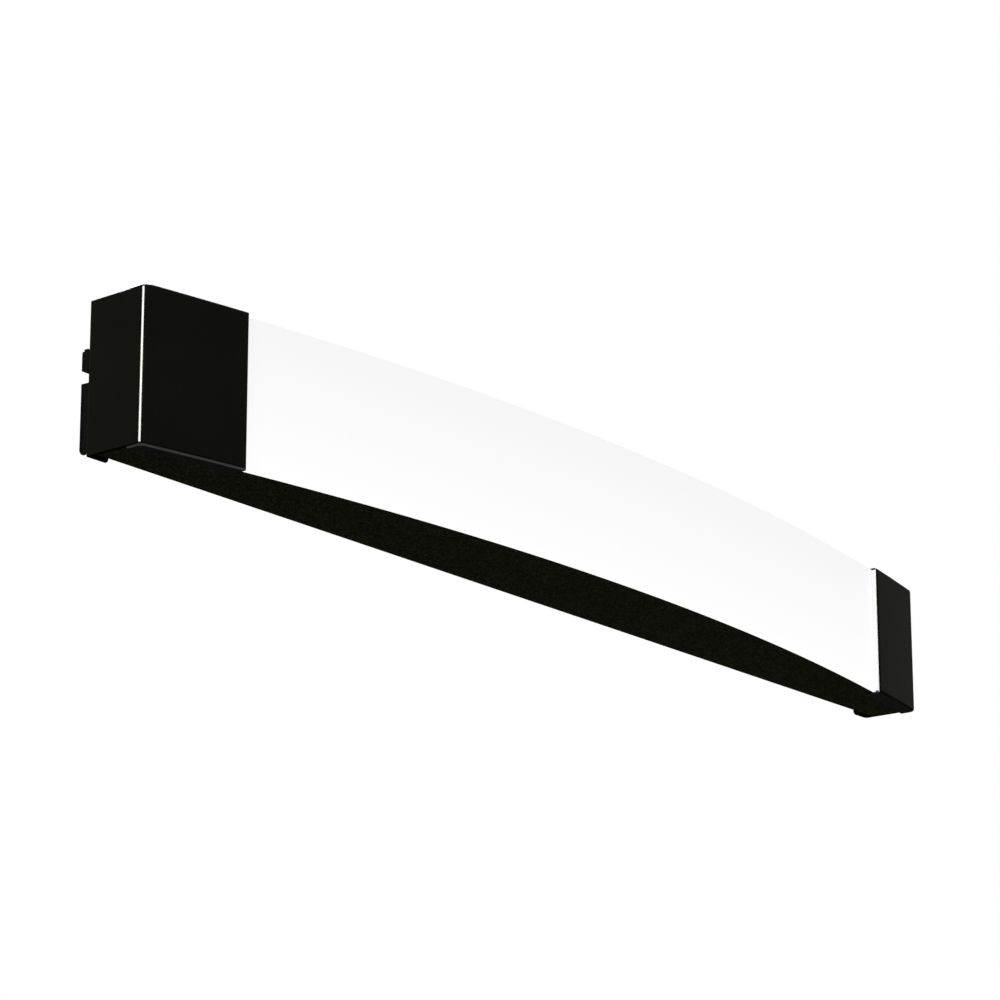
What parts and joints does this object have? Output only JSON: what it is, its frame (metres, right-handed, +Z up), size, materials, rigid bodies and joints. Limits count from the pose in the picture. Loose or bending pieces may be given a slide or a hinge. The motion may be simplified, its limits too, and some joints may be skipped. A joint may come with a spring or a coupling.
{
  "type": "vanity light bar",
  "caption": "Wall-mounted bow-fronted light bar: an opal diffuser between black end caps on a folded steel body that hooks onto a wall plate.",
  "frame": {"origin": "middle of the wall plate's back face, which lies on the wall", "axes": "+X along the bar, to the right seen from the room; +Y into the wall; +Z up"},
  "size_m": [0.81, 0.0859, 0.093],
  "materials": {
    "cap_black": "gloss black coating",
    "chassis_black": "fine-textured black powder coating",
    "plate_black": "satin black coating",
    "reflector_white": "satin white coating",
    "opal": "satin opal acrylic, lit from behind",
    "zinc": "zinc plating",
    "board_white": "white solder mask",
    "driver_white": "fine matt",
    "driver_green": "green solder mask",
    "terminal_grey": "moulded grey",
    "brass": "bare",
    "rubber": "matt",
    "foam": "closed-cell foam",
    "lead_brown": "insulation",
    "lead_blue": "insulation",
    "lead_green": "insulation",
    "lead_red": "insulation",
    "lead_black": "insulation"
  },
  "bodies": {
    "wall_side": {"wall_plate": "plate_black", "hook_rail": "plate_black", "left_end_flange": "plate_black", "right_end_flange": "plate_black", "left_lock_tab": "plate_black", "right_lock_tab": "plate_black", "plate_earth_post": "brass"},
    "left_lock": {"left_lock_screw": "zinc"},
    "right_lock": {"right_lock_screw": "zinc"},
    "fixture": {"chassis": "chassis_black", "left_hanger": "zinc", "right_hanger": "zinc", "left_lock_lug": "zinc", "right_lock_lug": "zinc", "left_cap_bracket": "zinc", "right_cap_bracket": "zinc", "left_end_plate": "reflector_white", "right_end_plate": "reflector_white", "led_tray": "reflector_white", "tray_screw_1": "zinc", "tray_screw_2": "zinc", "tray_screw_3": "zinc", "tray_screw_4": "zinc", "left_led_board": "board_white", "centre_led_board": "board_white", "right_led_board": "board_white", "board_screw_1": "zinc", "board_screw_2": "zinc", "board_screw_3": "zinc", "left_board_jumper": "lead_red", "right_board_jumper": "lead_red", "driver_case": "driver_white", "driver_lid": "driver_white", "driver_board": "driver_green", "left_driver_screw": "zinc", "right_driver_screw": "zinc", "terminal_block": "terminal_grey", "live_terminal_way": "brass", "neutral_terminal_way": "brass", "earth_terminal_way": "brass", "terminal_fixing_screw": "zinc", "wiring_cover": "chassis_black", "left_cover_screw": "zinc", "right_cover_screw": "zinc", "cable_grommet": "rubber", "body_earth_post": "brass", "live_lead": "lead_brown", "neutral_lead": "lead_blue", "earth_lead": "lead_green", "plus_lead": "lead_red", "minus_lead": "lead_black", "diffuser": "opal", "left_lower_cap_screw": "zinc", "left_upper_cap_screw": "zinc", "right_lower_cap_screw": "zinc", "right_upper_cap_screw": "zinc"},
    "left_cap": {"left_end_cap": "cap_black", "left_cap_pad": "foam"},
    "right_cap": {"right_end_cap": "cap_black", "right_cap_pad": "foam"}
  },
  "joints": [
    {"name": "fixture_lift", "type": "slide", "parent": "wall_side", "child": "fixture", "axis": [0, 0, 1], "range_m": [0, 0.012]},
    {"name": "left_cap_slide", "type": "slide", "parent": "fixture", "child": "left_cap", "axis": [-1, 0, 0], "range_m": [0, 0.075]},
    {"name": "right_cap_slide", "type": "slide", "parent": "fixture", "child": "right_cap", "axis": [1, 0, 0], "range_m": [0, 0.075]},
    {"name": "left_lock_screw_travel", "type": "slide", "parent": "wall_side", "child": "left_lock", "axis": [0, 0, -1], "range_m": [0, 0.007]},
    {"name": "right_lock_screw_travel", "type": "slide", "parent": "wall_side", "child": "right_lock", "axis": [0, 0, -1], "range_m": [0, 0.007]}
  ]
}
